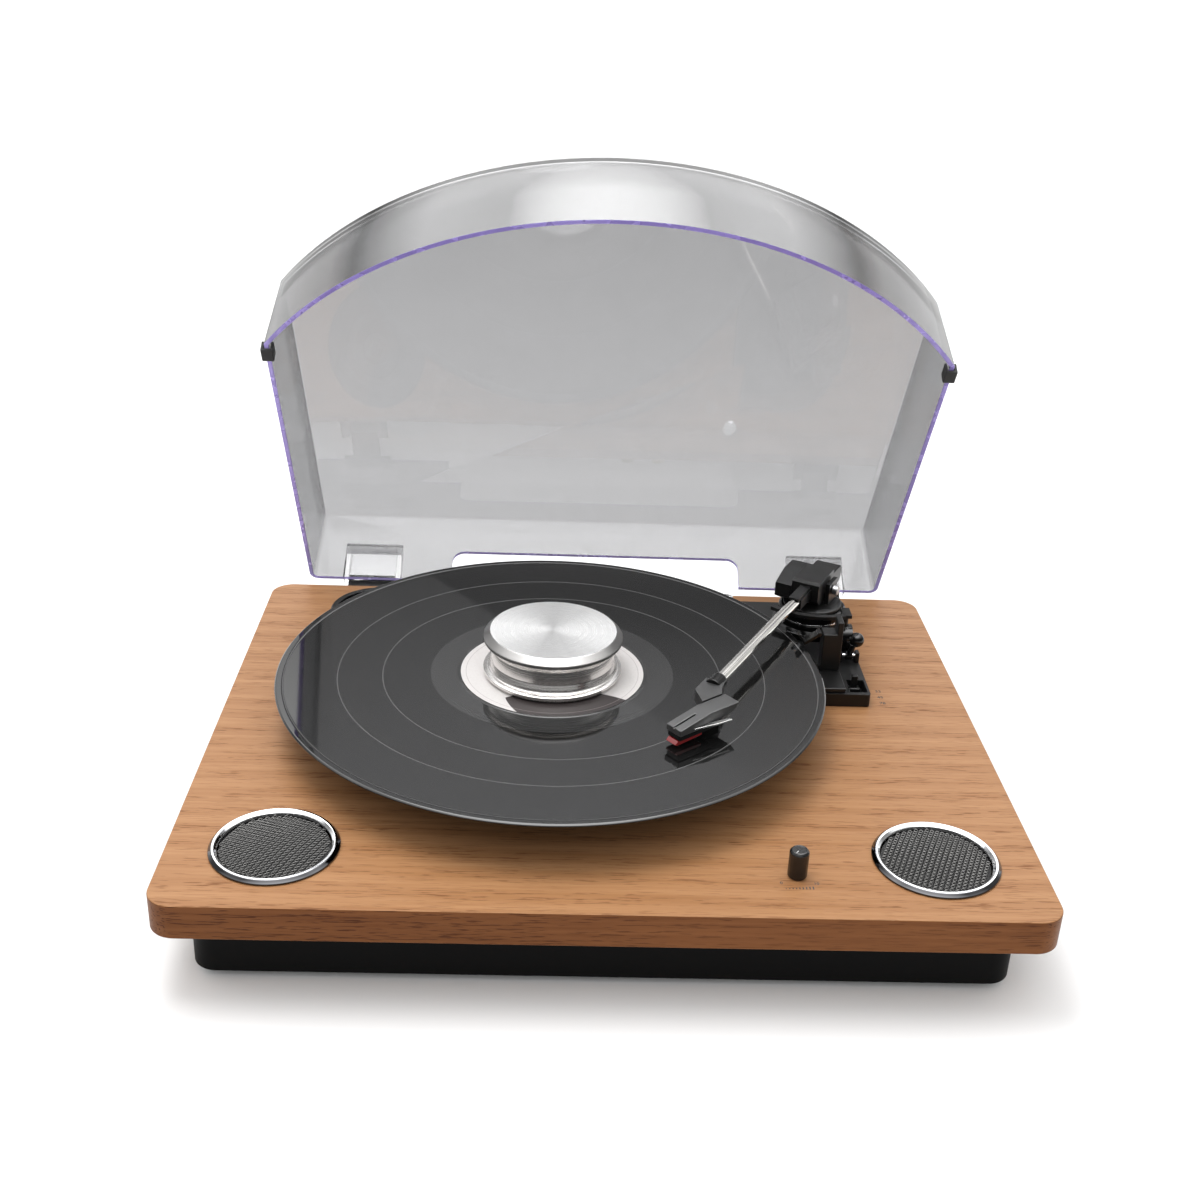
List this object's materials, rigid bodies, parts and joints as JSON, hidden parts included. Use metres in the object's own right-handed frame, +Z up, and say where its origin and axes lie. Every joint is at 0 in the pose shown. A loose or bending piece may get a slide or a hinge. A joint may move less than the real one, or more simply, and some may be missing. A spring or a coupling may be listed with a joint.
{
  "type": "turntable record player",
  "caption": "Belt-drive record player: wooden plinth with built-in speakers, platter with record and centre weight, tonearm, volume knob and a clear hinged dust cover.",
  "frame": {"origin": "centre of the bounding box, on the surface the feet stand on", "axes": "+X to the right as seen by the person using it, +Y towards the cover hinges at the back, +Z up"},
  "size_m": [0.42, 0.4108, 0.3446],
  "materials": {
    "wood": "light oak veneer with a satin lacquer",
    "base_black": "satin black moulding",
    "matte_black": "matt black",
    "satin_black": "satin black moulding",
    "gloss_black": "gloss black moulding",
    "rubber": "plain black rubber",
    "chrome": "polished plating",
    "steel": "plain finish",
    "brass": "turned",
    "platter_aluminium": "cast, painted black",
    "weight_aluminium": "turned, fine radial brushing and polished edges",
    "tube_aluminium": "polished and plated",
    "counterweight": "painted satin black",
    "felt": "thin black felt",
    "vinyl": "pressed grooves with a cream paper centre label",
    "circuit_board": "green glass-fibre board with soldered parts",
    "red_plastic": "translucent red moulding",
    "clear_acrylic": "clear with a light smoke tint, polished"
  },
  "bodies": {
    "base": {"plinth_board": "wood", "base_case": "base_black", "bottom_cover": "matte_black", "foot_front_left": "rubber", "foot_front_right": "rubber", "foot_rear_left": "rubber", "foot_rear_right": "rubber", "speaker_bezel_left": "chrome", "speaker_bezel_right": "chrome", "speaker_grille_left": "matte_black", "speaker_grille_right": "matte_black", "speaker_driver_left": "matte_black", "speaker_driver_right": "matte_black", "volume_potentiometer": "steel", "circuit_board": "circuit_board", "rear_jack_panel": "satin_black", "power_jack": "satin_black", "aux_jack": "satin_black", "line_out_jacks": "brass", "motor": "steel", "drive_belt": "rubber", "spindle_bearing": "brass", "adapter_cup": "gloss_black", "single_adapter": "satin_black", "transport_screw": "chrome", "arm_base_plate": "satin_black", "arm_base_cover": "satin_black", "arm_pivot_column": "gloss_black", "arm_lift_housing": "gloss_black", "cue_bracket": "satin_black", "cue_pin": "chrome", "arm_rest_post": "satin_black", "hinge_base_left": "satin_black", "hinge_base_right": "satin_black"},
    "dust_cover": {"lid_shell": "clear_acrylic", "lid_bumper_left": "rubber", "lid_bumper_right": "rubber", "hinge_leaf_left": "satin_black", "hinge_leaf_right": "satin_black"},
    "platter_assembly": {"platter": "platter_aluminium", "slip_mat": "felt", "record": "vinyl", "spindle": "steel"},
    "record_weight": {"record_weight": "weight_aluminium"},
    "motor_pulley": {"motor_pulley": "brass"},
    "volume_knob": {"volume_knob": "satin_black"},
    "speed_selector": {"speed_selector": "satin_black"},
    "cue_lever": {"cue_lever": "satin_black"},
    "lift_platform": {"lift_platform": "satin_black"},
    "arm_turret": {"arm_yoke": "gloss_black", "arm_pivot_pin": "steel"},
    "tonearm": {"arm_housing": "gloss_black", "arm_tube": "tube_aluminium", "arm_counterweight": "counterweight", "head_connector": "satin_black", "headshell": "satin_black", "cartridge": "gloss_black", "stylus": "red_plastic", "finger_lift": "steel"},
    "arm_rest_clip": {"arm_rest_clip": "gloss_black"}
  },
  "joints": [
    {"name": "lid_hinge", "type": "hinge", "parent": "base", "child": "dust_cover", "pos_m": [0, 0.13958, 0.029], "axis": [-1, 0, 0], "range_deg": [-60, 0]},
    {"name": "platter_spin", "type": "hinge", "parent": "base", "child": "platter_assembly", "pos_m": [-0.0284, -0.02162, 0.053], "axis": [0, 0, -1], "continuous": true},
    {"name": "pulley_spin", "type": "hinge", "parent": "base", "child": "motor_pulley", "pos_m": [-0.1076, -0.10082, 0.053], "axis": [0, 0, -1], "continuous": true},
    {"name": "weight_lift", "type": "slide", "parent": "platter_assembly", "child": "record_weight", "axis": [0, 0, 1], "range_m": [0, 0.06]},
    {"name": "volume_turn", "type": "hinge", "parent": "base", "child": "volume_knob", "pos_m": [0.089, -0.17292, 0.053], "axis": [0, 0, -1], "range_deg": [0, 300]},
    {"name": "speed_slide", "type": "slide", "parent": "base", "child": "speed_selector", "axis": [0, -1, 0], "range_m": [0, 0.0085]},
    {"name": "cue_lever_turn", "type": "hinge", "parent": "base", "child": "cue_lever", "pos_m": [0.1475, 0.03188, 0.065], "axis": [-1, 0, 0], "range_deg": [0, 50]},
    {"name": "lift_rise", "type": "slide", "parent": "base", "child": "lift_platform", "axis": [0, 0, 1], "range_m": [0, 0.00209]},
    {"name": "arm_swing", "type": "hinge", "parent": "base", "child": "arm_turret", "pos_m": [0.1317, 0.07828, 0.053], "axis": [0, 0, 1], "range_deg": [-13, 28.6]},
    {"name": "arm_tilt", "type": "hinge", "parent": "arm_turret", "child": "tonearm", "pos_m": [0.1317, 0.07828, 0.089], "axis": [-0.8776, 0.4795, 0], "range_deg": [0, 3.1]},
    {"name": "clip_swing", "type": "hinge", "parent": "base", "child": "arm_rest_clip", "pos_m": [0.1259, 0.01858, 0.086], "axis": [0, -1, 0], "range_deg": [-125, 0]}
  ],
  "couplings": [
    {"joint": "pulley_spin", "follows": "platter_spin", "ratio": 14.444},
    {"joint": "cue_lever_turn", "follows": "lift_rise", "rad_per_m": 416.67},
    {"joint": "arm_tilt", "follows": "lift_rise", "rad_per_m": 25}
  ]
}
